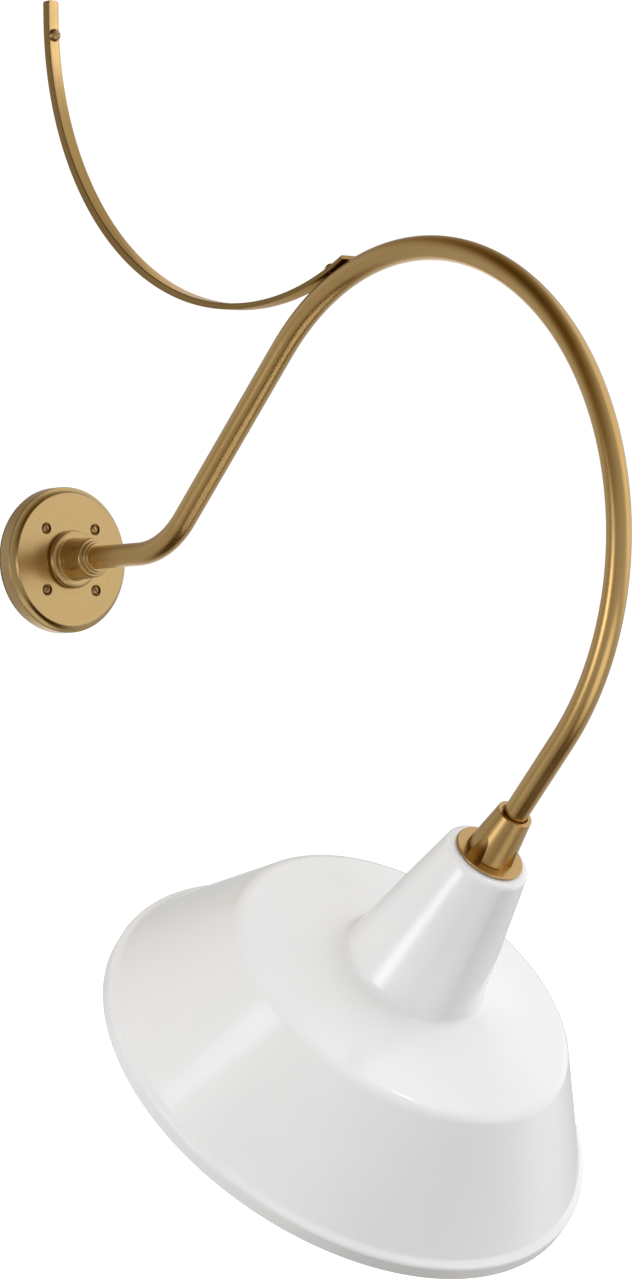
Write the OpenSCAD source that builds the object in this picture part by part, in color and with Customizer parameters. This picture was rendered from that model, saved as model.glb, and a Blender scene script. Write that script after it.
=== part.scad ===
// Wall-mounted gooseneck picture light with an enamelled shade.
// Millimetres. +X points out of the wall, +Z up. The origin is on the wall
// surface, at the centre of the round wall plate. The arm lies in the XZ plane.

/* [Wall plate] */
// Outer diameter of the wall plate
plate_d = 127; // [118:1:140]
// Distance from the wall to the front of the plate's straight side
plate_side = 15.5; // [13:0.5:17]
// Distance from the wall to the plate's flat face
plate_t = 20.8; // [19.5:0.1:22]
// Diameter of the plate's flat face
face_d = 116; // [110:1:118]
// Distance between neighbouring plate screws
screw_pitch = 53.2; // [50:0.2:56]

/* [Arm] */
// Outer diameter of the arm tube
tube_d = 20; // [18:0.5:22]
// Wall thickness of the arm tube
tube_wall = 2; // [1.5:0.1:2.5]
// Distance from the wall to the start of the first bend
stub_l = 115; // [100:1:130]
// Centre-line radius of the first bend
first_bend_r = 90; // [70:1:100]
// Slope of the rising part of the arm, in degrees
rise_angle = 45; // [45]
// Length of the straight rising part
rise_l = 188; // [170:1:200]
// Centre-line radius of the half-circle bend
neck_bend_r = 234; // [220:1:245]
// Length of the straight leg that carries the head
leg_l = 104; // [100:1:110]

/* [Brace strap] */
// Width of the strap at the wall
strap_w = 11.4; // [10:0.2:18]
// Width of the strap at its lower end
strap_end_w = 17; // [10:0.2:20]
// Thickness of the strap at the lowest point of its curve
strap_t = 5; // [4:0.5:6]
// Extra thickness of the strap at the wall
strap_swell = 3.2; // [0:0.1:5]
// Radius of the strap's outer face
strap_r = 275; // [270:0.5:280]
// Length of the straight part above the curve
strap_top_l = 18.1; // [9:0.1:30]
// Height of the wall screw above the plate's centre
strap_screw_z = 459; // [450:1:470]

/* [Shade] */
// Outer diameter of the shade's rim
shade_d = 432; // [420:1:440]
// Sheet thickness of the shade with its enamel
shade_t = 1.3; // [1:0.1:2]
// Distance from the top of the neck to the rim
shade_h = 257.5; // [250:0.5:265]
// Radius of the neck at its top
neck_top_r = 35.7; // [33:0.1:38]
// Radius where the neck meets the upper cone
neck_base_r = 60.5; // [56:0.5:64]
// Radius of the crease between the upper cone and the skirt
crease_r = 148; // [140:1:156]

/* [Lamp] */
// Diameter of the bulb
bulb_d = 60; // [55:1:62]
// Overall length of the bulb
bulb_l = 108; // [104:1:110]

/* [Hidden] */

$fn = 72;
fine = 144;
brass = "#b08d4f";
dark_brass = "#8a6a35";
enamel = "#f2f2f0";
steel = "#b9bcc0";
copper = "#b8733a";
black = "#2b2b2b";
porcelain = "#f4f1ea";
clear_glass = [0.85, 0.9, 0.95, 0.4];

// The arm's centre line, as [x, z] points
tube_r = tube_d / 2;
tube_bore_r = tube_r - tube_wall;
bend_1 = [stub_l, first_bend_r];
rise_start = bend_1 + first_bend_r * [sin(rise_angle), -cos(rise_angle)];
rise_end = rise_start + rise_l * [cos(rise_angle), sin(rise_angle)];
bend_2 = rise_end + neck_bend_r * [sin(rise_angle), -cos(rise_angle)];
leg_start = bend_2 + neck_bend_r * [sin(rise_angle), -cos(rise_angle)];
head = leg_start - leg_l * [cos(rise_angle), sin(rise_angle)];

// The arm's inner end and the pieces behind the plate's face
tube_start = 6.5;
rim_t = 4.5;
face_t = 3.2;
edge_round = 1.2;
plate_back = 3;
gasket_in = 1.5;
cove_depth = 0.8;
lock_nut_x = 7;
lock_nut_t = plate_t - face_t - lock_nut_x;
boss_r = 6.5;
plate_hole_r = 2.6;
recess_r = 5.2;
recess_h = 3.2;
wall_thread_r = 2.4;
wall_thread_l = 26;
tube_gap = 0.1;

// The strap's circle touches the arm's half-circle bend from above
strap_seat_r = neck_bend_r + tube_r;
strap_cx = strap_r;
strap_cz = bend_2[1] + sqrt(pow(strap_r + strap_seat_r, 2) - pow(bend_2[0] - strap_cx, 2));
strap_lean = asin((bend_2[0] - strap_cx) / (strap_r + strap_seat_r));
strap_tail = 4;
joint_angle = 90 + strap_lean + 1.2;
strap_corner_r = 2.5;
strap_wall_t = strap_t + strap_swell;
strap_screw_a = asin((strap_cz - strap_screw_z) / strap_r);
strap_joint_t = strap_depth(90 + strap_lean);
// Thickness of the strap at an angle round its outer face, from 0 at the wall
function strap_depth(angle) = strap_r + strap_swell * cos(angle)
    - sqrt(pow(strap_r - strap_t, 2) - pow(strap_swell * sin(angle), 2));

// Heights in the head: zero is the end of the arm tube, up is towards the arm
cap_top = 25;
cap_foot = -17.5;
cap_top_r = 14.7;
cap_foot_r = 20.3;
cap_bore_r = tube_r + 0.05;
disc_r = 29.2;
disc_t = 2;
gasket_t = 1;
neck_top = cap_foot - disc_t - gasket_t;
rim_z = neck_top - shade_h;
neck_base_z = neck_top - 129;
crease_z = neck_top - 144.5;
skirt_z = neck_top - 243;
lip_z = neck_top - 246;
skirt_r = shade_d / 2 - 6.2;
nipple_r = 6.5;
nipple_bore_r = 4.3;
washer_t = 2;
groove_z = 12;
groove_h = 5.8;
groove_r = 9.1;
set_screw_r = 2.5;
rib_angle = -33;
ribs = 4;
cable_r = 3.3;
wire_r = 1.1;

// Lampholder and lamp
strap_bar_z = -34;
strap_bar_t = 2.5;
holder_top = -47;
holder_foot = -93;
holder_r = 21;
holder_bore_r = 15;
shell_top = -65;
shell_r = 14.4;
shell_t = 0.7;
holder_screw_y = 16;
terminal_x = 11.5;
pedestal_h = 1.7;
cable_foot = -42;
tail_turn_r = 2.2;
tail_offset = 1.8;
lamp_top = -66.2;
lamp_tip = lamp_top - bulb_l;
bulb_r = bulb_d / 2;
bulb_centre = lamp_tip + bulb_r;
glass_t = 0.8;
glass_neck_r = 14;
glass_neck_z = -99;
base_r = 12.6;
base_wall = 1.2;
base_thread = 0.5;
base_top = -69;
base_foot = -91;
thread_pitch = 3.6;

// Unit vector from point a to point b
function toward(a, b) = (b - a) / norm(b - a);

// Corner i of the outline p rounded by radius r, as steps + 1 points
function rounded(p, i, r, steps) =
    let (n = len(p), u = toward(p[i], p[(i + n - 1) % n]), v = toward(p[i], p[(i + 1) % n]))
    let (half = acos(u * v) / 2, mid = (u + v) / norm(u + v))
    let (c = p[i] + mid * r / sin(half), a = p[i] + u * r / tan(half) - c)
    let (turn = 180 - 2 * half, side = sign(u[0] * v[1] - u[1] * v[0]))
    [for (k = [0:steps]) let (t = -side * turn * k / steps)
        c + [a[0] * cos(t) - a[1] * sin(t), a[0] * sin(t) + a[1] * cos(t)]];

// Outline through points [r, z] with a radius for each corner
function outline(points, radii, steps = 6) =
    [for (i = [0:len(points) - 1])
        each (radii[i] == 0 ? [points[i]] : rounded(points, i, radii[i], steps))];

// The outline's corners moved sideways by d
function shifted(p, d) =
    [for (i = [0:len(p) - 1])
        let (u = i == 0 ? toward(p[0], p[1]) : toward(p[i - 1], p[i]))
        let (v = i == len(p) - 1 ? u : toward(p[i], p[i + 1]))
        let (n = [-u[1], u[0]] + [-v[1], v[0]])
        p[i] + n * 2 * d / (n * n)];

// Turns local up into +X, for pieces on the wall plate
module on_wall(x = 0, y = 0, z = 0) {
    translate([x, y, z]) rotate([0, 90, 0]) children();
}

// Places children in the head, with local up along the arm's leg
module on_head() {
    translate([head[0], 0, head[1]]) rotate([0, rise_angle, 0]) children();
}

// Extrudes a flat outline along local +X
module run(length) {
    rotate([0, 90, 0]) linear_extrude(length) children();
}

// Sweeps a flat outline round the local Y axis, from one angle through a sweep
module bend(radius, from, sweep) {
    rotate([90, 0, 0]) rotate([0, 0, from])
        rotate_extrude(angle = sweep, $fn = fine) translate([radius, 0]) children();
}

// Sweeps an outline along the whole arm, from x = start to the given length of the leg.
// Each stretch starts in the frame where the one before it ends.
module along_arm(start, leg) {
    translate([start, 0, 0]) run(stub_l - start) children();
    translate([stub_l, 0, first_bend_r]) {
        bend(first_bend_r, -90, rise_angle) children();
        rotate([0, -rise_angle, 0]) translate([0, 0, -first_bend_r]) {
            run(rise_l) children();
            translate([rise_l, 0, -neck_bend_r]) {
                bend(neck_bend_r, -90, 180) children();
                translate([0, 0, -neck_bend_r]) rotate([0, 180, 0]) run(leg) children();
            }
        }
    }
}

// Ring of the given radii and height, standing on z
module ring(outer, inner, height, z = 0) {
    translate([0, 0, z]) difference() {
        cylinder(r = outer, h = height);
        translate([0, 0, -1]) cylinder(r = inner, h = height + 2);
    }
}

// Screw with a domed, slotted head; the head's seat is at z = 0, the tip points down
module dome_screw(head_r, head_h, shank_r, shank_l, slot_w, slot_angle) {
    ball_r = (head_r * head_r + head_h * head_h) / (2 * head_h);
    difference() {
        intersection() {
            translate([0, 0, head_h - ball_r]) sphere(r = ball_r);
            cylinder(r = head_r, h = head_h + 1);
        }
        rotate([0, 0, slot_angle]) translate([-head_r - 1, -slot_w / 2, head_h * 0.6])
            cube([2 * head_r + 2, slot_w, head_h]);
    }
    translate([0, 0, -shank_l]) cylinder(r = shank_r, h = shank_l);
}

// Headless screw along +Z with a socket in its outer end
module grub_screw(radius, length) {
    difference() {
        cylinder(r = radius, h = length);
        translate([0, 0, length - 2]) cylinder(r = radius / 2, h = 3, $fn = 6);
    }
}

module wall_plate() {
    top = plate_t - face_t;
    cove = [(plate_d + face_d) / 4 - cove_depth, (plate_side + plate_t) / 2 - cove_depth];
    points = [[plate_d / 2 - rim_t, plate_back], [plate_d / 2, plate_back], [plate_d / 2, plate_side], cove,
              [face_d / 2, plate_t], [tube_r + tube_gap, plate_t], [tube_r + tube_gap, top],
              [face_d / 2 - 4, top], [plate_d / 2 - rim_t, top - 5]];
    radii = [0, 0, edge_round, 8, 0.7, 0, 0, 2, 2];
    color(brass) difference() {
        union() {
            on_wall() rotate_extrude($fn = fine) polygon(outline(points, radii));
            for (y = [-1, 1], z = [-1, 1])
                on_wall(plate_back, y * screw_pitch / 2, z * screw_pitch / 2)
                    cylinder(r = boss_r, h = top + 1 - plate_back);
            on_wall(5.5, 0, 42) cylinder(r = 4, h = top - 4.5);
        }
        for (y = [-1, 1], z = [-1, 1])
            on_wall(-1, y * screw_pitch / 2, z * screw_pitch / 2) {
                cylinder(r = plate_hole_r, h = plate_t + 2);
                translate([0, 0, plate_t - recess_h + 1]) cylinder(r = recess_r, h = recess_h + 1);
            }
        on_wall(4, 0, 42) cylinder(r = 1.7, h = 8.5);
        on_wall() ring(plate_d / 2 - 1.2, plate_d / 2 - 3.4, plate_back + gasket_in);
    }
}

module wall_gasket() {
    color(black) on_wall() ring(plate_d / 2 - 1.2, plate_d / 2 - 3.4, plate_back + gasket_in);
}

// Domed wood screw with its seat at x = 0, whose thread starts at the wall
module wall_screw(head_r, head_h, seat, slot_w, slot_angle) {
    on_wall() dome_screw(head_r, head_h, 2.1, seat, slot_w, slot_angle);
    on_wall(-seat - wall_thread_l) cylinder(r = wall_thread_r, h = wall_thread_l);
    on_wall(-seat - wall_thread_l - 4) cylinder(r1 = 0.3, r2 = wall_thread_r, h = 4);
}

module plate_screws() {
    seat = plate_t - recess_h;
    for (y = [-1, 1], z = [-1, 1])
        color(dark_brass) translate([seat, y * screw_pitch / 2, z * screw_pitch / 2])
            wall_screw(4.3, 4, seat, 0.9, 20 + 50 * y + 35 * z);
}

module arm_collar() {
    bead_r = 25.3;
    bead = 3.5;
    points = [[tube_r + tube_gap, 0], [bead_r, 0], [bead_r, 2 * bead], [18.4, 2 * bead],
              [17.1, 33.2], [14.6, 33.2], [14.6, 36.7], [12.6, 36.7], [12.6, 38.7], [tube_r + tube_gap, 38.7]];
    radii = [0, bead - 0.1, bead - 0.1, 1, 1.6, 0.3, 1, 0.3, 0.8, 0];
    color(brass) on_wall(plate_t) difference() {
        rotate_extrude($fn = fine) polygon(outline(points, radii));
        translate([0, 0, 20]) rotate([0, 90, 0]) cylinder(r = set_screw_r, h = 30);
    }
}

module collar_set_screw() {
    color(steel) on_wall(plate_t + 20) rotate([0, 90, 0])
        translate([0, 0, tube_r]) grub_screw(set_screw_r, 7);
}

module arm_tube() {
    color(brass) difference() {
        along_arm(tube_start, leg_l) circle(r = tube_r);
        along_arm(tube_start - 1, leg_l + 1) circle(r = tube_bore_r);
        on_head() ring(tube_r + 1, groove_r, groove_h, groove_z - groove_h / 2);
        joint_axis() cylinder(r = 3.5, h = tube_r + strap_t);
    }
}

module arm_lock_nut() {
    color(steel) on_wall(lock_nut_x) difference() {
        cylinder(r = 17, h = lock_nut_t, $fn = 6);
        translate([0, 0, -1]) cylinder(r = tube_r, h = lock_nut_t + 2);
    }
}

module cable_grommet() {
    color(black) on_wall(10) ring(tube_bore_r, cable_r, 9);
}

module supply_cable() {
    color(black) along_arm(11, leg_l - 1.5) circle(r = cable_r, $fn = 36);
}

// Wire that leaves the cable's end and turns outwards behind the plate, at the given angle
module plate_wire(angle, reach) {
    turn_r = 5;
    offset_r = 1.8;
    rotate([angle, 0, 0]) {
        translate([11, 0, offset_r]) rotate([0, -90, 0]) cylinder(r = wire_r, h = 1.5, $fn = 24);
        translate([9.5, 0, offset_r + turn_r]) rotate([90, 0, 0]) rotate([0, 0, 180])
            rotate_extrude(angle = 90, $fn = 48) translate([turn_r, 0]) circle(r = wire_r, $fn = 24);
        translate([9.5 - turn_r, 0, offset_r + turn_r]) cylinder(r = wire_r, h = reach - 6.8, $fn = 24);
    }
}

module line_lead() {
    color(black) plate_wire(90, 24);
}

module neutral_lead() {
    color("white") plate_wire(-90, 24);
}

module earth_lead() {
    color("green") plate_wire(0, 38.6);
    color(copper) on_wall(4.5, 0, 42) ring(3.6, 1.8, 1);
}

module wire_connectors() {
    for (side = [-1, 1])
        color("#d9822b") translate([4.5, 0, 0]) rotate([90 * side, 0, 0]) difference() {
            translate([0, 0, 21]) cylinder(r1 = 4.2, r2 = 3.2, h = 18);
            translate([0, 0, 20]) cylinder(r = wire_r, h = 4);
        }
}

module earth_screw() {
    color(copper) on_wall(4.5, 0, 42) rotate([180, 0, 0]) dome_screw(3.4, 2, 1.7, 7, 0.8, 30);
}

// Straight top end of the strap, with rounded corners
module strap_end() {
    corner = strap_corner_r;
    intersection() {
        linear_extrude(strap_top_l) translate([0, -strap_w / 2]) square([strap_wall_t, strap_w]);
        rotate([90, 0, 90]) translate([0, 0, -1]) linear_extrude(strap_wall_t + 2) {
            for (y = [-1, 1]) translate([y * (strap_w / 2 - corner), strap_top_l - corner]) circle(r = corner);
            translate([-strap_w / 2, -1]) square([strap_w, strap_top_l - corner + 1]);
            translate([corner - strap_w / 2, -1]) square([strap_w - 2 * corner, strap_top_l + 1]);
        }
    }
}

// Round blank in the arm's plane, for one face of the strap
module strap_blank(radius, width) {
    rotate([90, 0, 0]) cylinder(r = radius, h = width, center = true, $fn = fine);
}

// Curved run of the strap: its two faces are round about different centres, so that it gets thinner
// towards the arm, and its sides spread
module strap_curve() {
    last = 400 * [sin(strap_lean + strap_tail), -cos(strap_lean + strap_tail)];
    foot = strap_wall_t - strap_cx;
    intersection() {
        difference() {
            strap_blank(strap_r, 30);
            translate([strap_swell, 0, 0]) strap_blank(strap_r - strap_t, 32);
        }
        rotate([90, 0, 0]) linear_extrude(28, center = true)
            polygon([[0, 0], [-400, 0], [-400, -400], [last[0], -400], last]);
        translate([0, 0, -350]) linear_extrude(360) polygon([
            [-400, -strap_w / 2], [foot, -strap_w / 2], [last[0], -strap_end_w / 2],
            [last[0], strap_end_w / 2], [foot, strap_w / 2], [-400, strap_w / 2]]);
    }
}

// Axis of the screw that joins the strap to the arm, pointing out of the bend's centre
module joint_axis() {
    translate([bend_2[0], 0, bend_2[1]]) rotate([0, 90 - joint_angle, 0])
        translate([0, 0, neck_bend_r]) children();
}

// Axis of the strap's wall screw, square to the strap, from its back
module strap_axis() {
    translate([strap_cx, 0, strap_cz]) rotate([0, -strap_screw_a, 0])
        translate([-strap_r, 0, 0]) rotate([0, 90, 0]) children();
}

module brace_strap() {
    color(brass) difference() {
        union() {
            translate([0, 0, strap_cz]) strap_end();
            translate([strap_cx, 0, strap_cz]) strap_curve();
        }
        strap_axis() translate([0, 0, -2]) cylinder(r = 2.6, h = strap_wall_t + 4);
        joint_axis() cylinder(r = 2.6, h = tube_r + strap_t + 4);
    }
}

module brace_wall_screw() {
    seat = strap_depth(strap_screw_a) + 0.1;
    color(dark_brass) strap_axis() translate([0, 0, seat]) dome_screw(5.7, 5.2, 2.1, seat + 0.1, 1.4, 90);
}

module brace_arm_screw() {
    color(dark_brass) joint_axis() translate([0, 0, tube_r + strap_joint_t + 0.55])
        dome_screw(5.5, 5, 2.4, strap_joint_t + 4.5, 1.2, 0);
}

module brace_insert() {
    color(steel) joint_axis() ring(3.5, 2.4, 4, tube_r - 4.4);
}

module fitter_cap() {
    scoop_r = 8.5;
    points = [[cap_bore_r, -1], [cap_bore_r, cap_top - 3], [11.1, cap_top - 3], [11.1, cap_top],
              [cap_top_r, cap_top], [cap_foot_r, cap_foot], [nipple_r, cap_foot], [nipple_r, -1]];
    radii = [0, 0, 0, 0.5, 0.6, 0.8, 0, 0];
    color(brass) on_head() difference() {
        rotate_extrude($fn = fine) polygon(outline(points, radii));
        for (i = [0:ribs - 1])
            rotate([0, 0, rib_angle + (i + 0.5) * 360 / ribs]) translate([23.8, 0, cap_foot])
                rotate([0, 7, 0]) translate([0, 0, -5]) cylinder(r = scoop_r, h = 60);
        cap_screw_axis() cylinder(r = set_screw_r, h = 20);
    }
}

// Radial axis of the cap's set screw, through the rib that faces the wall
module cap_screw_axis() {
    translate([0, 0, groove_z]) rotate([0, 0, rib_angle + 180]) rotate([0, 90, 0]) children();
}

module cap_set_screw() {
    color(steel) on_head() cap_screw_axis() translate([0, 0, groove_r + 0.4]) grub_screw(set_screw_r, 5.6);
}

module neck_disc() {
    points = [[nipple_r, cap_foot - disc_t], [disc_r, cap_foot - disc_t], [disc_r, cap_foot], [nipple_r, cap_foot]];
    color(brass) on_head() rotate_extrude($fn = fine) polygon(outline(points, [0, 0.7, 0.9, 0]));
}

module neck_gasket() {
    color(black) on_head() ring(27, nipple_r, gasket_t, neck_top);
}

// Outline of the spun shade from the nipple hole to the rim, one sheet thick
module shade_outline() {
    line = [[nipple_r, neck_top], [neck_top_r, neck_top], [neck_base_r, neck_base_z], [crease_r, crease_z],
            [skirt_r, skirt_z], [shade_d / 2, lip_z], [shade_d / 2, rim_z]];
    radii = [0, 6, 9, 15, 6, 3.4, 0];
    turns = [0, -1, 1, -1, 1, -1, 0];
    inner = shifted(line, -shade_t);
    inner_radii = [for (i = [0:len(radii) - 1]) radii[i] + turns[i] * shade_t];
    outer_line = outline(line, radii);
    inner_line = outline(inner, inner_radii);
    polygon(concat(outer_line, [for (i = [len(inner_line) - 1:-1:0]) inner_line[i]]));
}

module shade() {
    color(enamel) on_head() rotate_extrude($fn = fine) shade_outline();
}

module backing_washer() {
    color(steel) on_head() ring(24, nipple_r, washer_t, neck_top - shade_t - washer_t);
}

module threaded_nipple() {
    color(brass) on_head() ring(nipple_r, nipple_bore_r, 38, -42);
}

// Hexagon nut on the nipple, hanging from z
module nipple_nut(z, height) {
    color(steel) on_head() translate([0, 0, z - height]) difference() {
        cylinder(r = 11, h = height, $fn = 6);
        translate([0, 0, -1]) cylinder(r = nipple_r, h = height + 2);
    }
}

module nipple_lock_nut() {
    nipple_nut(neck_top - shade_t - washer_t, 5);
}

module strap_nut() {
    nipple_nut(strap_bar_z - strap_bar_t, 4);
}

module holder_strap() {
    color(steel) on_head() translate([0, 0, strap_bar_z - strap_bar_t]) difference() {
        linear_extrude(strap_bar_t) {
            square([14, 2 * holder_screw_y], center = true);
            for (y = [-1, 1]) translate([0, y * holder_screw_y]) circle(r = 7);
        }
        translate([0, 0, -1]) cylinder(r = nipple_r, h = strap_bar_t + 2);
        for (y = [-1, 1]) translate([0, y * holder_screw_y, -1]) cylinder(r = 1.8, h = strap_bar_t + 2);
    }
}

module holder_screws() {
    for (y = [-1, 1])
        color(steel) on_head() translate([0, y * holder_screw_y, strap_bar_z])
            dome_screw(3.2, 2, 1.75, 16, 0.8, 35);
}

module holder_body() {
    points = [[0, holder_top], [holder_r, holder_top], [holder_r, -80], [holder_r + 1.5, -82],
              [holder_r + 1.5, holder_foot], [holder_bore_r, holder_foot], [holder_bore_r, shell_top + 1.5],
              [0, shell_top + 1.5]];
    radii = [0, 3, 2, 0.6, 1.5, 1.5, 0, 0];
    color(porcelain) on_head() difference() {
        union() {
            rotate_extrude($fn = fine) polygon(outline(points, radii));
            for (y = [-1, 1]) translate([0, y * holder_screw_y, holder_top - 1])
                cylinder(r = 4, h = strap_bar_z - strap_bar_t - holder_top + 1);
            for (x = [-1, 1]) translate([x * terminal_x, 0, holder_top - 1]) cylinder(r = 4.5, h = pedestal_h + 1);
        }
        for (y = [-1, 1]) translate([0, y * holder_screw_y, strap_bar_z - 16.5])
            cylinder(r = 1.75, h = 16);
        for (x = [-1, 1]) translate([x * terminal_x, 0, holder_top - 3]) cylinder(r = 1.6, h = 6);
    }
}

module screw_shell() {
    color(dark_brass) on_head() difference() {
        translate([0, 0, base_foot]) cylinder(r = shell_r, h = shell_top - base_foot + 0.8);
        translate([0, 0, base_foot - 1]) cylinder(r = shell_r - shell_t, h = shell_top - base_foot + 1);
        translate([0, 0, shell_top - 1]) cylinder(r = 6, h = 3);
    }
}

module centre_contact() {
    color(copper) on_head() ring(4.5, 1.2, 0.6, shell_top + 0.9);
    color(copper) on_head() translate([0, 0, lamp_top + 0.3]) cylinder(r = 1.2, h = shell_top - lamp_top + 1.2);
}

module terminal_screws() {
    for (x = [-1, 1])
        color(dark_brass) on_head() translate([x * terminal_x, 0, holder_top + pedestal_h + 2 * wire_r])
            dome_screw(3.4, 2, 1.6, 2 * wire_r + pedestal_h + 3, 0.8, 60 * x);
}

module head_cable() {
    color(black) on_head() translate([0, 0, cable_foot]) cylinder(r = cable_r, h = 0.5 - cable_foot);
}

// Wire from the cable's end to a terminal on the given side
module tail_wire(side) {
    turn_x = tail_offset + tail_turn_r;
    on_head() rotate([0, 0, side > 0 ? 0 : 180]) {
        translate([turn_x, 0, cable_foot]) rotate([90, 0, 0]) rotate([0, 0, 180])
            rotate_extrude(angle = 90, $fn = 48) translate([tail_turn_r, 0]) circle(r = wire_r, $fn = 24);
        translate([turn_x, 0, cable_foot - tail_turn_r]) rotate([0, 90, 0])
            cylinder(r = wire_r, h = terminal_x - 1.8 - turn_x, $fn = 24);
    }
}

module line_tail() {
    color(black) tail_wire(1);
}

module neutral_tail() {
    color("white") tail_wire(-1);
}

// Outline of the bulb's glass, made smaller by d
function bulb_outline(d) =
    let (c = [0, bulb_centre], r = bulb_r - d, p = [glass_neck_r - d, glass_neck_z])
    let (reach = norm(p - c), swing = atan2(p[1] - c[1], p[0]) - acos(r / reach))
    let (neck = [[base_r - base_wall - 0.3 - d, base_foot + 1], p, c + r * [cos(swing), sin(swing)]])
    concat(outline([neck[0], neck[1], neck[2]], [0, 30, 0], 8),
           [for (k = [1:24]) let (t = swing - (swing + 90) * k / 24) c + r * [cos(t), sin(t)]]);

module bulb_glass() {
    outer = bulb_outline(0);
    inner = bulb_outline(glass_t);
    color(clear_glass) on_head() rotate_extrude($fn = fine)
        polygon(concat(outer, [for (i = [len(inner) - 1:-1:0]) inner[i]]));
}

module bulb_base() {
    turns = floor((base_top - base_foot - 3) / thread_pitch);
    ridge = [for (i = [0:turns * 8]) let (a = 45 * i)
        [base_r + base_thread * sin(a), base_foot + 2 + thread_pitch * i / 8]];
    color(steel) on_head() rotate_extrude($fn = fine) polygon(concat(
        [[base_r - base_wall, base_foot], [glass_neck_r, base_foot - 3], [glass_neck_r, base_foot - 0.5],
         [base_r, base_foot + 1]], ridge,
        [[base_r, base_top - 1.5], [base_r - 2, base_top], [base_r - 3, base_top],
         [base_r - base_wall, base_top - 1.8]]));
}

module bulb_insulator() {
    color(black) on_head() difference() {
        translate([0, 0, base_top]) cylinder(r1 = base_r - 2, r2 = 5, h = 1.8);
        translate([0, 0, base_top - 1]) cylinder(r = 2.4, h = 4);
    }
}

module bulb_contact() {
    color(steel) on_head() translate([0, 0, base_top]) cylinder(r1 = 2.4, r2 = 1.6, h = lamp_top - base_top);
}

module bulb_stem() {
    color(clear_glass) on_head() {
        translate([0, 0, base_foot - 18]) cylinder(r1 = 3, r2 = 9, h = 18);
        translate([0, 0, base_foot - 24]) cylinder(r = 2.5, h = 7);
    }
}

module bulb_filaments() {
    sticks = 4;
    for (i = [0:sticks - 1])
        color("#f0c040") on_head() rotate([0, 0, 45 + 360 * i / sticks])
            translate([7, 0, base_foot - 66]) rotate([0, -6, 0]) cylinder(r = 1, h = 40, $fn = 24);
    color(steel) on_head() {
        for (i = [0:sticks - 1])
            rotate([0, 0, 45 + 360 * i / sticks]) translate([0, 0, base_foot - 66])
                rotate([0, 90, 0]) cylinder(r = 0.5, h = 7.5, $fn = 24);
        translate([0, 0, base_foot - 67]) cylinder(r = 0.6, h = 43, $fn = 24);
    }
}

wall_plate();
wall_gasket();
plate_screws();
arm_collar();
collar_set_screw();
arm_tube();
arm_lock_nut();
cable_grommet();
supply_cable();
line_lead();
neutral_lead();
earth_lead();
wire_connectors();
earth_screw();
brace_strap();
brace_wall_screw();
brace_arm_screw();
brace_insert();
fitter_cap();
cap_set_screw();
neck_disc();
neck_gasket();
shade();
backing_washer();
threaded_nipple();
nipple_lock_nut();
holder_strap();
strap_nut();
holder_screws();
holder_body();
screw_shell();
centre_contact();
terminal_screws();
head_cable();
line_tail();
neutral_tail();
bulb_glass();
bulb_base();
bulb_insulator();
bulb_contact();
bulb_stem();
bulb_filaments();
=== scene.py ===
"""Looks for the wall-mounted gooseneck picture light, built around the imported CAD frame."""

import math

import bmesh
import bpy
from mathutils import Matrix, Vector


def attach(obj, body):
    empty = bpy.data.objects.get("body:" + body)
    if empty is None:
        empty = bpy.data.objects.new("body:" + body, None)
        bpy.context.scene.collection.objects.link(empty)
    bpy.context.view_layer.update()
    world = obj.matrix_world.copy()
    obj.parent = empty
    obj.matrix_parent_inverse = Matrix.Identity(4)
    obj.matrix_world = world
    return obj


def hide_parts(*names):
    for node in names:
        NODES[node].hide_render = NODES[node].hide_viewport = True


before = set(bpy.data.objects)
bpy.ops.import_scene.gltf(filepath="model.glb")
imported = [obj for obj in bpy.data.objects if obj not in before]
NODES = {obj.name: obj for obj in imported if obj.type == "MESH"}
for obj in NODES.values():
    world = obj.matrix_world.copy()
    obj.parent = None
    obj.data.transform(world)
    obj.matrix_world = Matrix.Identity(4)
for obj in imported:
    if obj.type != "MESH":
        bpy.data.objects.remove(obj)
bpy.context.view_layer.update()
MM = 0.001
Y_AXIS = Vector((0, 1, 0))


# ---------------------------------------------------------------- numbers shared with the CAD, in mm
TUBE_R = 10
TUBE_START = 6.5
STUB_L = 115
FIRST_BEND_R = 90
RISE_ANGLE = math.radians(45)
RISE_L = 188
NECK_BEND_R = 234
LEG_L = 104
STRAP_T = 5
STRAP_SWELL = 3.2
STRAP_WALL_T = STRAP_T + STRAP_SWELL
STRAP_W = 11.4
STRAP_END_W = 17
STRAP_R = 275
STRAP_TOP_L = 18.1
STRAP_TAIL = math.radians(4)
STRAP_CORNER_R = 2.5
NECK_TOP = -20.5
SHADE_T = 1.3
SHADE_R = 216
NIPPLE_R = 6.5
STRAP_PLAN_R = 400          # the strap's sides spread evenly out to this distance from its centre

STRAP_EDGE_R = 0.9          # only here: the CAD's strap has sharp edges

# Steps along each stretch of a swept or turned piece
BEND_STEPS, ARC_STEPS, RISE_STEPS, LEG_STEPS = 24, 96, 8, 6
STRAP_STEPS, STRAP_TIP_STEPS, STRAP_EDGE_STEPS = 96, 8, 6
TUBE_SIDES = 64
SHADE_SIDES = 256
SHADE_CORNER_STEPS = 10

slope = Vector((math.cos(RISE_ANGLE), 0, math.sin(RISE_ANGLE)))
down_slope = Vector((math.sin(RISE_ANGLE), 0, -math.cos(RISE_ANGLE)))
bend_1 = Vector((STUB_L, 0, FIRST_BEND_R))
rise_start = bend_1 + down_slope * FIRST_BEND_R
rise_end = rise_start + slope * RISE_L
bend_2 = rise_end + down_slope * NECK_BEND_R
leg_start = bend_2 + down_slope * NECK_BEND_R
head = leg_start - slope * LEG_L
HEAD = Matrix.Translation(head * MM) @ Matrix.Rotation(RISE_ANGLE, 4, "Y")

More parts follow.
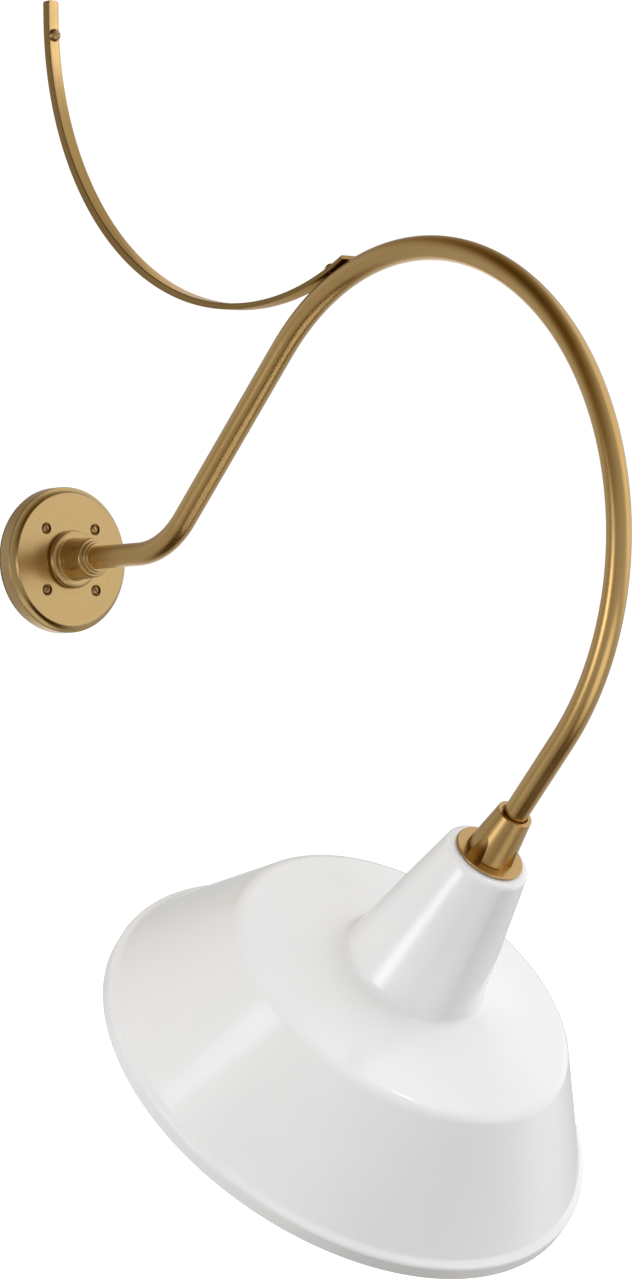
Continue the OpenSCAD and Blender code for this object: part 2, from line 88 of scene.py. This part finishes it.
seat_r = NECK_BEND_R + TUBE_R
strap_cx = STRAP_R
strap_cz = bend_2.z + math.sqrt((STRAP_R + seat_r) ** 2 - (bend_2.x - strap_cx) ** 2)
strap_lean = math.asin((bend_2.x - strap_cx) / (STRAP_R + seat_r))


# ---------------------------------------------------------------- mesh building
def new_piece(name, verts, faces, uvs=None):
    mesh = bpy.data.meshes.new(name)
    mesh.from_pydata([tuple(v * MM for v in p) for p in verts], [], faces)
    if uvs:
        layer = mesh.uv_layers.new(name="UVMap")
        for i, loop in enumerate(mesh.loops):
            layer.data[i].uv = uvs[i]
    mesh.update()
    obj = bpy.data.objects.new(name, mesh)
    bpy.context.scene.collection.objects.link(obj)
    mesh.shade_smooth()
    return obj


def on_circle(r, k, steps):
    angle = 2 * math.pi * k / steps
    return r * math.cos(angle), r * math.sin(angle)


def lathe(name, profile, place, steps, sharp):
    """Turns the closed profile [(r, z)] round local Z, which it doesn't touch."""
    verts = [(*on_circle(r, k, steps), z) for r, z in profile for k in range(steps)]
    faces = []
    for i in range(len(profile)):
        a, b = i * steps, (i + 1) % len(profile) * steps
        for k in range(steps):
            n = (k + 1) % steps
            faces.append((a + k, a + n, b + n, b + k))
    obj = new_piece(name, verts, faces)
    obj.data.transform(place)
    fix_normals(obj, sharp)
    return obj


def fix_normals(obj, sharp):
    bm = bmesh.new()
    bm.from_mesh(obj.data)
    bmesh.ops.recalc_face_normals(bm, faces=bm.faces)
    bm.to_mesh(obj.data)
    bm.free()
    obj.data.set_sharp_from_angle(angle=math.radians(sharp))


def rounded(p, i, r, steps):
    """Points of the outline's corner i, rounded by radius r."""
    here, before, after = Vector(p[i]), Vector(p[i - 1]), Vector(p[(i + 1) % len(p)])
    u, v = (before - here).normalized(), (after - here).normalized()
    half = u.angle(v) / 2
    c = here + (u + v).normalized() * r / math.sin(half)
    a = here + u * r / math.tan(half) - c
    turn = math.pi - 2 * half
    side = 1 if u.x * v.y - u.y * v.x > 0 else -1
    out = []
    for k in range(steps + 1):
        t = -side * turn * k / steps
        out.append((c.x + a.x * math.cos(t) - a.y * math.sin(t),
                    c.y + a.x * math.sin(t) + a.y * math.cos(t)))
    return out


def outline(points, radii, steps):
    out = []
    for i, r in enumerate(radii):
        out += [tuple(points[i])] if r == 0 else rounded(points, i, r, steps)
    return out


def stations(line):
    """Adds to each (point, tangent) in the arm's plane its up direction and the length so far."""
    out, run = [], 0.0
    for point, tangent in line:
        if out:
            run += (point - out[-1][0]).length
        out.append((point, tangent, tangent.cross(Y_AXIS), run))
    return out


def sweep(name, line, sections, base, sharp):
    """Joins the sections [(side, up)], one at each station of the line. UV: u runs round the base section
    and v along the sweep, both in metres."""
    n = len(base)
    around = [0.0]
    for k in range(n):
        around.append(around[-1] + (Vector(base[(k + 1) % n]) - Vector(base[k])).length)
    path = stations(line)
    verts, faces, uvs = [], [], []
    for (point, tangent, up, _), section in zip(path, sections):
        side = up.cross(tangent)
        verts += [point + side * s + up * t for s, t in section]
    for i in range(len(path) - 1):
        va, vb = path[i][3] * MM, path[i + 1][3] * MM
        for k in range(n):
            m = (k + 1) % n
            faces.append((i * n + k, i * n + m, (i + 1) * n + m, (i + 1) * n + k))
            ua, ub = around[k] * MM, around[k + 1] * MM
            uvs += [(ua, va), (ub, va), (ub, vb), (ua, vb)]
    for start in (0, (len(path) - 1) * n):
        faces.append([start + k for k in range(n)])
        uvs += [(p[0] * MM, p[1] * MM) for p in base]
    obj = new_piece(name, verts, faces, uvs)
    fix_normals(obj, sharp)
    return obj


# ---------------------------------------------------------------- node helpers for materials
MIX_A, MIX_B, MIX_RESULT = 6, 7, 2          # sockets of a Mix node in colour mode


class Graph:
    def __init__(self, name):
        self.mat = bpy.data.materials.new(name)
        self.mat.use_nodes = True
        self.tree = self.mat.node_tree
        self.tree.nodes.clear()
        self.out = self.add("ShaderNodeOutputMaterial")
        self.bsdf = self.add("ShaderNodeBsdfPrincipled")
        self.link(self.bsdf.outputs[0], self.out.inputs["Surface"])

    def add(self, kind, **props):
        node = self.tree.nodes.new(kind)
        for key, value in props.items():
            setattr(node, key, value)
        return node

    def link(self, a, b):
        self.tree.links.new(a, b)

    def put(self, node, socket, value):
        if isinstance(value, bpy.types.NodeSocket):
            self.link(value, node.inputs[socket])
        else:
            node.inputs[socket].default_value = value

    def math(self, op, a, b=0.0):
        node = self.add("ShaderNodeMath", operation=op)
        self.put(node, 0, a)
        self.put(node, 1, b)
        return node.outputs[0]

    def noise(self, vector, scale, detail=2.0, rough=0.5):
        node = self.add("ShaderNodeTexNoise")
        self.put(node, "Vector", vector)
        self.put(node, "Scale", scale)
        self.put(node, "Detail", detail)
        self.put(node, "Roughness", rough)
        return node.outputs["Fac"]

    def spread(self, fac, low, high, from_low=0.3, from_high=0.7):
        node = self.add("ShaderNodeMapRange")
        self.put(node, "Value", fac)
        self.put(node, "From Min", from_low)
        self.put(node, "From Max", from_high)
        self.put(node, "To Min", low)
        self.put(node, "To Max", high)
        return node.outputs["Result"]

    def blend(self, fac, a, b):
        node = self.add("ShaderNodeMix", data_type="RGBA")
        self.put(node, "Factor", fac)
        node.inputs[MIX_A].default_value = (*a, 1)
        node.inputs[MIX_B].default_value = (*b, 1)
        return node.outputs[MIX_RESULT]

    def stretched(self, parts, scales):
        """A vector of the parts, each multiplied by its own scale."""
        node = self.add("ShaderNodeCombineXYZ")
        for k, (part, scale) in enumerate(zip(parts, scales)):
            self.put(node, k, self.math("MULTIPLY", part, scale))
        return node.outputs[0]

    def bump(self, height, strength, distance):
        node = self.add("ShaderNodeBump")
        self.put(node, "Height", height)
        self.put(node, "Strength", strength)
        self.put(node, "Distance", distance)
        self.link(node.outputs[0], self.bsdf.inputs["Normal"])

    def position(self):
        return self.add("ShaderNodeTexCoord").outputs["Object"]

    def axes(self, vector):
        node = self.add("ShaderNodeSeparateXYZ")
        self.link(vector, node.inputs[0])
        return node.outputs

    def about(self, place):
        """Object position seen from a turned-piece frame, as (radius, angle, height)."""
        mapping = self.add("ShaderNodeMapping", vector_type="TEXTURE")
        mapping.inputs["Location"].default_value = place.to_translation()
        mapping.inputs["Rotation"].default_value = place.to_euler()
        self.link(self.position(), mapping.inputs["Vector"])
        x, y, z = self.axes(mapping.outputs[0])
        squares = self.math("ADD", self.math("MULTIPLY", x, x), self.math("MULTIPLY", y, y))
        radius = self.math("SQRT", squares)
        angle = self.math("ARCTAN2", y, x)
        return radius, angle, z


BRASS_LIGHT = (0.68, 0.445, 0.18)
BRASS_DEEP = (0.62, 0.395, 0.145)
# How closely the brushing lines lie across and along the brushing, per metre or per radian
SWEPT_FINE, SWEPT_BROAD = (800.0, 8.0), (420.0, 7.0)
TURNED_FINE, TURNED_BROAD = (2600.0, 1.3, 2600.0), (420.0, 0.7, 420.0)
CAST_FINE, CAST_BROAD = 2400.0, 300.0
BRASS_CLOUD = 22.0
BRASS_DEPTH = 0.02


def brass(name, light=BRASS_LIGHT, deep=BRASS_DEEP, rough=0.27, lines=None, place=None, grain=0.015,
          streaks=0.4, coat=0.2):
    """Satin brass. lines says which way the brushing runs: "uv" along a sweep, "turned" round an axis,
    "flat" for small cast pieces."""
    g = Graph(name)
    base = g.bsdf
    base.inputs["Metallic"].default_value = 1.0
    base.inputs["Coat Weight"].default_value = coat
    base.inputs["Coat Roughness"].default_value = 0.22
    position = g.position()
    if lines == "uv":
        u, v, _ = g.axes(g.add("ShaderNodeTexCoord").outputs["UV"])
        fine = g.noise(g.stretched((u, v), SWEPT_FINE), 1.0, 1.0)
        broad = g.noise(g.stretched((u, v), SWEPT_BROAD), 1.0, 2.0)
    elif lines == "turned":
        polar = g.about(place)
        fine = g.noise(g.stretched(polar, TURNED_FINE), 1.0, 3.0)
        broad = g.noise(g.stretched(polar, TURNED_BROAD), 1.0, 2.0)
    else:
        fine = g.noise(position, CAST_FINE, 3.0)
        broad = g.noise(position, CAST_BROAD, 3.0)
    cloud = g.noise(position, BRASS_CLOUD, 3.0)
    tone = g.math("ADD", g.math("MULTIPLY", g.spread(broad, 0.0, 1.0), streaks),
                  g.math("MULTIPLY", g.spread(cloud, 0.0, 1.0), 1.0 - streaks))
    g.link(g.blend(tone, deep, light), base.inputs["Base Color"])
    g.link(g.math("ADD", g.spread(fine, rough - 0.02, rough + 0.02), g.spread(cloud, -0.02, 0.03)),
           base.inputs["Roughness"])
    g.bump(fine, grain, BRASS_DEPTH * MM)
    return g.mat


def enamel(name):
    """White vitreous enamel: glossy glass over a white ground coat, with a faint ripple."""
    g = Graph(name)
    position = g.position()
    cloud = g.noise(position, 9.0, 2.0)
    white = g.blend(g.spread(cloud, 0.0, 1.0), (0.83, 0.83, 0.83), (0.86, 0.86, 0.855))
    g.link(white, g.bsdf.inputs["Base Color"])
    speck = g.noise(position, 160.0, 3.0)
    g.link(g.spread(speck, 0.10, 0.14), g.bsdf.inputs["Roughness"])
    g.bsdf.inputs["Coat Weight"].default_value = 0.6
    g.bsdf.inputs["Coat Roughness"].default_value = 0.06
    g.bump(g.noise(position, 70.0, 2.0), 0.05, 0.4 * MM)
    return g.mat


def plain(name, dark, light, rough, metallic=0.0, scale=90.0, bump=0.1, depth=0.05, coat=0.0):
    """Small parts: two close tones, a varying roughness and a fine surface."""
    g = Graph(name)
    position = g.position()
    g.bsdf.inputs["Metallic"].default_value = metallic
    g.bsdf.inputs["Coat Weight"].default_value = coat
    cloud = g.noise(position, scale, 3.0)
    g.link(g.blend(g.spread(cloud, 0.0, 1.0), dark, light), g.bsdf.inputs["Base Color"])
    wear = g.noise(position, scale * 4, 2.0)
    g.link(g.spread(wear, rough - 0.06, rough + 0.06), g.bsdf.inputs["Roughness"])
    g.bump(g.noise(position, scale * 14, 2.0), bump, depth * MM)
    return g.mat


def clear_glass(name):
    g = Graph(name)
    g.bsdf.inputs["Base Color"].default_value = (0.97, 0.98, 0.98, 1)
    g.bsdf.inputs["Transmission Weight"].default_value = 1.0
    g.bsdf.inputs["IOR"].default_value = 1.46
    position = g.position()
    g.link(g.spread(g.noise(position, 40.0, 2.0), 0.0, 0.03), g.bsdf.inputs["Roughness"])
    g.bump(g.noise(position, 30.0, 1.0), 0.03, 0.2 * MM)
    return g.mat


NODE_SHARP = 35             # edges of CAD nodes over this many degrees stay sharp


def use(mat, *names):
    for name in names:
        obj = NODES[name]
        obj.data.materials.clear()
        obj.data.materials.append(mat)
        obj.data.shade_smooth()
        obj.data.set_sharp_from_angle(angle=math.radians(NODE_SHARP))


wall_axis = Matrix.Rotation(math.radians(90), 4, "Y")
tube_brass = brass("tube_brass", lines="uv")
# Painted shade: the strap's brass is a darker copy of the tube's brass, standing in for the shade that falls
# along the strap. Linked panels further down light its ends again.
strap_brass = brass("strap_brass", light=(0.42, 0.275, 0.11), deep=(0.33, 0.21, 0.075), lines="uv",
                    rough=0.3, grain=0.2, streaks=0.8, coat=0.0)
strap_shader = strap_brass.node_tree.nodes["Principled BSDF"]
strap_shader.inputs["Specular Tint"].default_value = (0.88, 0.75, 0.58, 1)
turned_brass = brass("turned_brass", light=(0.60, 0.415, 0.185), deep=(0.55, 0.375, 0.155),
                     lines="turned", place=wall_axis)
head_brass = brass("head_brass", lines="turned", place=HEAD, rough=0.32)
screw_brass = brass("screw_brass", light=(0.50, 0.34, 0.15), deep=(0.38, 0.24, 0.09), rough=0.3,
                    lines="flat")
shell_brass = brass("shell_brass", light=(0.80, 0.56, 0.25), deep=(0.70, 0.46, 0.18), rough=0.22,
                    lines="flat")
white_enamel = enamel("white_enamel")
steel = plain("plated_steel", (0.50, 0.51, 0.53), (0.62, 0.63, 0.65), 0.3, metallic=1.0)
rubber = plain("black_rubber", (0.012, 0.012, 0.012), (0.022, 0.022, 0.022), 0.6)
sheath = plain("cable_sheath", (0.02, 0.02, 0.02), (0.035, 0.035, 0.035), 0.5)
black_wire = plain("black_wire", (0.015, 0.015, 0.015), (0.03, 0.03, 0.03), 0.42)
white_wire = plain("white_wire", (0.70, 0.70, 0.67), (0.80, 0.80, 0.77), 0.42)
green_wire = plain("green_wire", (0.03, 0.16, 0.05), (0.05, 0.22, 0.08), 0.42)
orange = plain("orange_plastic", (0.62, 0.18, 0.03), (0.75, 0.25, 0.05), 0.4)
green_screw = plain("green_screw", (0.05, 0.20, 0.08), (0.08, 0.28, 0.12), 0.35, metallic=0.7)
porcelain = plain("porcelain", (0.78, 0.76, 0.70), (0.84, 0.82, 0.77), 0.18, coat=0.5, bump=0.05)
bulb_glass = clear_glass("bulb_glass")
black_glass = plain("black_glass", (0.012, 0.008, 0.014), (0.02, 0.014, 0.022), 0.12, coat=0.5)
solder = plain("solder", (0.42, 0.42, 0.43), (0.55, 0.55, 0.56), 0.35, metallic=1.0, scale=300.0)
filament = plain("filament_coat", (0.80, 0.47, 0.07), (0.88, 0.58, 0.12), 0.55, scale=400.0)

use(turned_brass, "wall_plate", "arm_collar")
use(head_brass, "fitter_cap", "neck_disc")
use(screw_brass, "plate_screws", "brace_wall_screw", "brace_arm_screw", "threaded_nipple", "terminal_screws")
use(shell_brass, "screw_shell", "centre_contact")
use(steel, "collar_set_screw", "arm_lock_nut", "brace_insert", "cap_set_screw", "backing_washer",
    "nipple_lock_nut", "holder_strap", "strap_nut", "holder_screws", "bulb_base")
use(rubber, "wall_gasket", "cable_grommet", "neck_gasket")
use(sheath, "supply_cable", "head_cable")
use(black_wire, "line_lead", "line_tail")
use(white_wire, "neutral_lead", "neutral_tail")
use(green_wire, "earth_lead")
use(orange, "wire_connectors")
use(green_screw, "earth_screw")
use(porcelain, "holder_body")
use(bulb_glass, "bulb_glass", "bulb_stem")
use(black_glass, "bulb_insulator")
use(solder, "bulb_contact")
use(filament, "bulb_filaments")


# ---------------------------------------------------------------- arm tube
def heading(angle):
    """Unit vector in the arm's plane, at an angle above +X."""
    return Vector((math.cos(angle), 0, math.sin(angle)))


def arm_line():
    """(point, tangent) along the middle of the arm tube."""
    along = Vector((1, 0, 0))
    out = [(Vector((TUBE_START, 0, 0)), along), (Vector((STUB_L / 2, 0, 0)), along)]
    for k in range(BEND_STEPS + 1):
        a = RISE_ANGLE * k / BEND_STEPS
        outward = Vector((math.sin(a), 0, -math.cos(a)))
        out.append((bend_1 + outward * FIRST_BEND_R, heading(a)))
    for k in range(1, RISE_STEPS):
        out.append((rise_start + slope * RISE_L * k / RISE_STEPS, slope))
    for k in range(ARC_STEPS + 1):
        a = RISE_ANGLE - math.pi * k / ARC_STEPS
        outward = Vector((-math.sin(a), 0, math.cos(a)))
        out.append((bend_2 + outward * NECK_BEND_R, heading(a)))
    for k in range(1, LEG_STEPS + 1):
        out.append((leg_start - slope * LEG_L * k / LEG_STEPS, -slope))
    return out


tube_section = [on_circle(TUBE_R, k, TUBE_SIDES) for k in range(TUBE_SIDES)]
tube_line = arm_line()
tube = sweep("arm_tube_skin", tube_line, [tube_section] * len(tube_line), tube_section, sharp=40)
tube.data.materials.append(tube_brass)
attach(tube, "wall_arm")
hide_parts("arm_tube")


# ---------------------------------------------------------------- brace strap
def strap_depth(a):
    """Thickness at an angle round the strap's outer face, from 0 at the wall."""
    inner = math.sqrt((STRAP_R - STRAP_T) ** 2 - (STRAP_SWELL * math.sin(a)) ** 2)
    return STRAP_R + STRAP_SWELL * math.cos(a) - inner


def strap_stretch():
    """Line and sections of the strap: [(point, tangent)] and [(half width, half thickness)]."""
    line, halves = [], []
    down = Vector((0, 0, -1))
    top = Vector((STRAP_WALL_T / 2, 0, strap_cz + STRAP_TOP_L))
    for k in range(STRAP_TIP_STEPS + 1):
        a = math.radians(90) * k / STRAP_TIP_STEPS
        line.append((top + down * STRAP_CORNER_R * (1 - math.cos(a)), down))
        half_w = STRAP_W / 2 - STRAP_CORNER_R + STRAP_CORNER_R * math.sin(a)
        halves.append((half_w, STRAP_WALL_T / 2))
    line.append((top + down * STRAP_TOP_L * 0.6, down))
    halves.append((STRAP_W / 2, STRAP_WALL_T / 2))
    centre = Vector((strap_cx, 0, strap_cz))
    last_x = strap_cx + STRAP_PLAN_R * math.sin(strap_lean + STRAP_TAIL)
    for k in range(STRAP_STEPS + 1):
        a = (math.radians(90) + strap_lean + STRAP_TAIL) * k / STRAP_STEPS
        radial = Vector((-math.cos(a), 0, -math.sin(a)))
        point = centre + radial * (STRAP_R - strap_depth(a) / 2)
        spread = max(0.0, point.x - STRAP_WALL_T) / (last_x - STRAP_WALL_T)
        line.append((point, Vector((math.sin(a), 0, -math.cos(a)))))
        halves.append(((STRAP_W + (STRAP_END_W - STRAP_W) * spread) / 2, strap_depth(a) / 2))
    return line, halves


def strap_profile(half_w, half_t):
    """Rounded rectangle as (side, up): side along the strap's width, up through its thickness."""
    e = STRAP_EDGE_R
    points = []
    for cx, cy, start in ((1, 1, 0), (-1, 1, 90), (-1, -1, 180), (1, -1, 270)):
        for k in range(STRAP_EDGE_STEPS + 1):
            a = math.radians(start + 90 / STRAP_EDGE_STEPS * k)
            points.append((cx * (half_w - e) + e * math.cos(a), cy * (half_t - e) + e * math.sin(a)))
    return points


strap_line, strap_halves = strap_stretch()
strap = sweep("brace_strap_skin", strap_line, [strap_profile(*half) for half in strap_halves],
              strap_profile(STRAP_W / 2, STRAP_WALL_T / 2), sharp=50)
strap.data.materials.append(strap_brass)
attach(strap, "wall_arm")
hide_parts("brace_strap")


# ---------------------------------------------------------------- shade
def shifted(p, d):
    """The open outline p, moved sideways by d."""
    out = []
    for i, here in enumerate(p):
        here = Vector(here)
        u = (Vector(p[1]) - Vector(p[0])) if i == 0 else here - Vector(p[i - 1])
        v = u if i == len(p) - 1 else Vector(p[i + 1]) - here
        u, v = u.normalized(), v.normalized()
        n = Vector((-u.y, u.x)) + Vector((-v.y, v.x))
        out.append(tuple(here + n * 2 * d / n.dot(n)))
    return out


shade_line = [(NIPPLE_R, NECK_TOP), (35.7, NECK_TOP), (60.5, NECK_TOP - 129), (148, NECK_TOP - 144.5),
              (SHADE_R - 6.2, NECK_TOP - 243), (SHADE_R, NECK_TOP - 246), (SHADE_R, NECK_TOP - 257.5)]
corner_r = [0, 6, 9, 15, 6, 3.4, 0]
turns = [0, -1, 1, -1, 1, -1, 0]
inner_r = [r + t * SHADE_T for r, t in zip(corner_r, turns)]
outer_line = outline(shade_line, corner_r, SHADE_CORNER_STEPS)
inner_line = outline(shifted(shade_line, -SHADE_T), inner_r, SHADE_CORNER_STEPS)
shade = lathe("shade_skin", outer_line + inner_line[::-1], HEAD, steps=SHADE_SIDES, sharp=50)
shade.data.materials.append(white_enamel)
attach(shade, "head")
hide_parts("shade")


# ---------------------------------------------------------------- studio
FLOOR_Z = -0.95
FLOOR_HALF = 40
BACKDROP = 1.05             # brightness of the floor and of what the camera sees behind the object
WORLD_LEAST = 0.06          # the darkest that the world gets
DIM = 0.12                  # strength under which the world has its dim colour
DISC_EDGE = 8               # degrees on each side of a disc's rim

h = FLOOR_HALF
floor_mesh = bpy.data.meshes.new("floor")
floor_mesh.from_pydata([(-h, -h, 0), (h, -h, 0), (h, h, 0), (-h, h, 0)], [], [(0, 1, 2, 3)])
floor = bpy.data.objects.new("floor", floor_mesh)
floor.location = (0, 0, FLOOR_Z)
bpy.context.scene.collection.objects.link(floor)
g = Graph("floor")
g.bsdf.inputs["Base Color"].default_value = (0.9, 0.9, 0.9, 1)
g.bsdf.inputs["Roughness"].default_value = 0.9
g.bsdf.inputs["Emission Color"].default_value = (1, 1, 1, 1)
g.bsdf.inputs["Emission Strength"].default_value = BACKDROP
floor_mesh.materials.append(g.mat)
floor.visible_glossy = False
floor.visible_diffuse = False


def direction(azimuth, elevation):
    """Unit vector: azimuth from +X towards +Y, elevation above the horizon, in degrees."""
    a, e = math.radians(azimuth), math.radians(elevation)
    return math.cos(a) * math.cos(e), math.sin(a) * math.cos(e), math.sin(e)


def studio(ambient, shades, lights, discs):
    """A world of soft boxes. Each shade or light is (azimuth, elevation, strength, tightness), and shades
    take light away from the ambient. A disc, (azimuth, elevation, strength, radius), has a firmer edge. The
    dim parts are warmer than the bright ones, as in a room with warm walls."""
    world = bpy.data.worlds.new("studio")
    bpy.context.scene.world = world
    world.use_nodes = True
    tree = world.node_tree
    tree.nodes.clear()
    ray = tree.nodes.new("ShaderNodeTexCoord").outputs["Generated"]

    def math_node(operation, *values):
        node = tree.nodes.new("ShaderNodeMath")
        node.operation = operation
        for k, value in enumerate(values):
            if isinstance(value, bpy.types.NodeSocket):
                tree.links.new(value, node.inputs[k])
            else:
                node.inputs[k].default_value = value
        return node.outputs[0]

    def by_strength(strength, dim, bright, full):
        node = tree.nodes.new("ShaderNodeMapRange")
        tree.links.new(strength, node.inputs["Value"])
        node.inputs["From Min"].default_value = DIM
        node.inputs["From Max"].default_value = full
        node.inputs["To Min"].default_value = dim
        node.inputs["To Max"].default_value = bright
        return node.outputs["Result"]

    def facing(azimuth, elevation):
        """How nearly a ray points that way: 1 straight along it, -1 straight away from it."""
        dot = tree.nodes.new("ShaderNodeVectorMath")
        dot.operation = "DOT_PRODUCT"
        tree.links.new(ray, dot.inputs[0])
        dot.inputs[1].default_value = direction(azimuth, elevation)
        return dot.outputs["Value"]

    total = ambient
    for azimuth, elevation, strength, tightness in [(a, e, -s, t) for a, e, s, t in shades] + lights:
        falloff = math_node("MULTIPLY_ADD", facing(azimuth, elevation), tightness, -tightness)
        total = math_node("MULTIPLY_ADD", math_node("EXPONENT", falloff), strength, total)
    for azimuth, elevation, strength, radius in discs:
        edge = tree.nodes.new("ShaderNodeMapRange")
        edge.interpolation_type = "SMOOTHSTEP"
        tree.links.new(facing(azimuth, elevation), edge.inputs["Value"])
        edge.inputs["From Min"].default_value = math.cos(math.radians(radius + DISC_EDGE))
        edge.inputs["From Max"].default_value = math.cos(math.radians(radius - DISC_EDGE))
        edge.inputs["To Max"].default_value = strength
        total = math_node("ADD", total, edge.outputs["Result"])
    total = math_node("MAXIMUM", total, WORLD_LEAST)
    tint = tree.nodes.new("ShaderNodeCombineColor")
    tint.inputs[0].default_value = 1.0
    tree.links.new(by_strength(total, *TINT_GREEN), tint.inputs[1])
    tree.links.new(by_strength(total, *TINT_BLUE), tint.inputs[2])
    soft = tree.nodes.new("ShaderNodeBackground")
    tree.links.new(tint.outputs[0], soft.inputs["Color"])
    tree.links.new(total, soft.inputs["Strength"])
    white = tree.nodes.new("ShaderNodeBackground")
    white.inputs["Color"].default_value = (1, 1, 1, 1)
    white.inputs["Strength"].default_value = BACKDROP
    path = tree.nodes.new("ShaderNodeLightPath")
    mix = tree.nodes.new("ShaderNodeMixShader")
    tree.links.new(path.outputs["Is Camera Ray"], mix.inputs[0])
    tree.links.new(soft.outputs[0], mix.inputs[1])
    tree.links.new(white.outputs[0], mix.inputs[2])
    out = tree.nodes.new("ShaderNodeOutputWorld")
    tree.links.new(mix.outputs[0], out.inputs["Surface"])


# Green and blue of the dim light, of the bright light, and the strength from which it is bright
TINT_GREEN = 0.65, 1.0, 0.45
TINT_BLUE = 0.15, 1.0, 0.45
studio(0.55, shades=[
    (-130, 47, 0.62, 1.8),
    (0, -88, 1.2, 10.0),
], lights=[
    (52, 17, 0.5, 200.0),
    (44, -3, 0.32, 30.0),
    (-95, -9, 3.2, 60.0),
    (-150, 22, 0.44, 5.0),
    (34, 44, 0.15, 8.0),
    (154, -16, 0.6, 13.0),
], discs=[
    (68, 24, 0.45, 40),
    (0, -48, 0.85, 20),
])


LIGHTS_AIM = (0.35, 0, -0.1)
PANEL_DISTANCE = 2.5


def area(name, azimuth, elevation, distance, size, power, colour, glossy=True):
    light = bpy.data.lights.new(name, "AREA")
    light.shape = "DISK"
    light.size = size
    light.energy = power
    light.color = colour
    obj = bpy.data.objects.new(name, light)
    bpy.context.scene.collection.objects.link(obj)
    aim = Vector(LIGHTS_AIM)
    obj.location = aim + Vector(direction(azimuth, elevation)) * distance
    obj.rotation_euler = (aim - obj.location).to_track_quat("-Z", "Y").to_euler()
    obj.visible_glossy = glossy
    obj.visible_camera = False
    return obj


KEY_COLOUR = (0.97, 1.0, 1.05)
SKY_COLOUR = (0.98, 1.0, 1.04)
PANEL_COLOUR = (1.0, 1.06, 1.3)
area("key", -90, 14, 2.6, 1.6, 35, KEY_COLOUR, glossy=False)
area("side", 100, 0, 2.8, 1.8, 30, (1.0, 1.0, 1.02), glossy=False)
area("overhead", 0, 80, 2.6, 1.8, 14, SKY_COLOUR, glossy=False)
area("upper", 32, 40, 2.8, 1.8, 20, SKY_COLOUR, glossy=False)
area("front", 5, -5, 2.8, 1.8, 9, SKY_COLOUR, glossy=False)

# Lights that only one surface sees. On the enamel, nested strips draw the soft streak down the side of the
# skirt, and a small lamp adds a glint. On the strap, one panel lights its straight end and another the foot
# of its curve.
only = {}
for piece in (shade, strap):
    only[piece] = bpy.data.collections.new("only_" + piece.name)
    only[piece].objects.link(piece)
for piece, name, azimuth, elevation, width, height, power, colour in (
        (shade, "strip_thin", -80, 28, 0.22, 0.7, 0.5, KEY_COLOUR),
        (shade, "strip", -80, 28, 0.5, 0.7, 1.3, KEY_COLOUR),
        (shade, "strip_wide", -80, 28, 0.9, 0.8, 1.6, KEY_COLOUR),
        (shade, "lamp", 30, 38, 0.2, 0.2, 1.0, KEY_COLOUR),
        (strap, "strap_end", 44, 28, 0.9, 0.8, 6.4, PANEL_COLOUR),
        (strap, "strap_foot", 132, 38, 1.1, 1.1, 4.0, PANEL_COLOUR)):
    light = area(name, azimuth, elevation, PANEL_DISTANCE, width, power, colour)
    light.data.shape = "RECTANGLE"
    light.data.size_y = height
    light.light_linking.receiver_collection = only[piece]

# ---------------------------------------------------------------- camera
CAMERA_AZ, CAMERA_EL, CAMERA_ROLL = 49.788, -1.915, 1.015
CAMERA_AT = (3.6215, -2.7673, -0.2254)
FOCAL_SHARE = 4.0816        # focal length over the frame's height
SENSOR = 36
camera = bpy.data.cameras.new("camera")
camera.sensor_fit = "VERTICAL"
camera.sensor_height = SENSOR
camera.lens = SENSOR * FOCAL_SHARE
camera.clip_end = 200
shot = bpy.data.objects.new("camera", camera)
bpy.context.scene.collection.objects.link(shot)
az, el, roll = (math.radians(v) for v in (CAMERA_AZ, CAMERA_EL, CAMERA_ROLL))
right = Vector((math.cos(az), math.sin(az), 0))
look = Vector((-math.sin(az) * math.cos(el), math.cos(az) * math.cos(el), -math.sin(el)))
up = right.cross(look)
cam_right = right * math.cos(roll) - up * math.sin(roll)
cam_up = right * math.sin(roll) + up * math.cos(roll)
basis = Matrix((cam_right, cam_up, -look)).transposed().to_4x4()
basis.translation = Vector(CAMERA_AT)
shot.matrix_world = basis
bpy.context.scene.camera = shot
bpy.context.scene.view_settings.view_transform = "Standard"
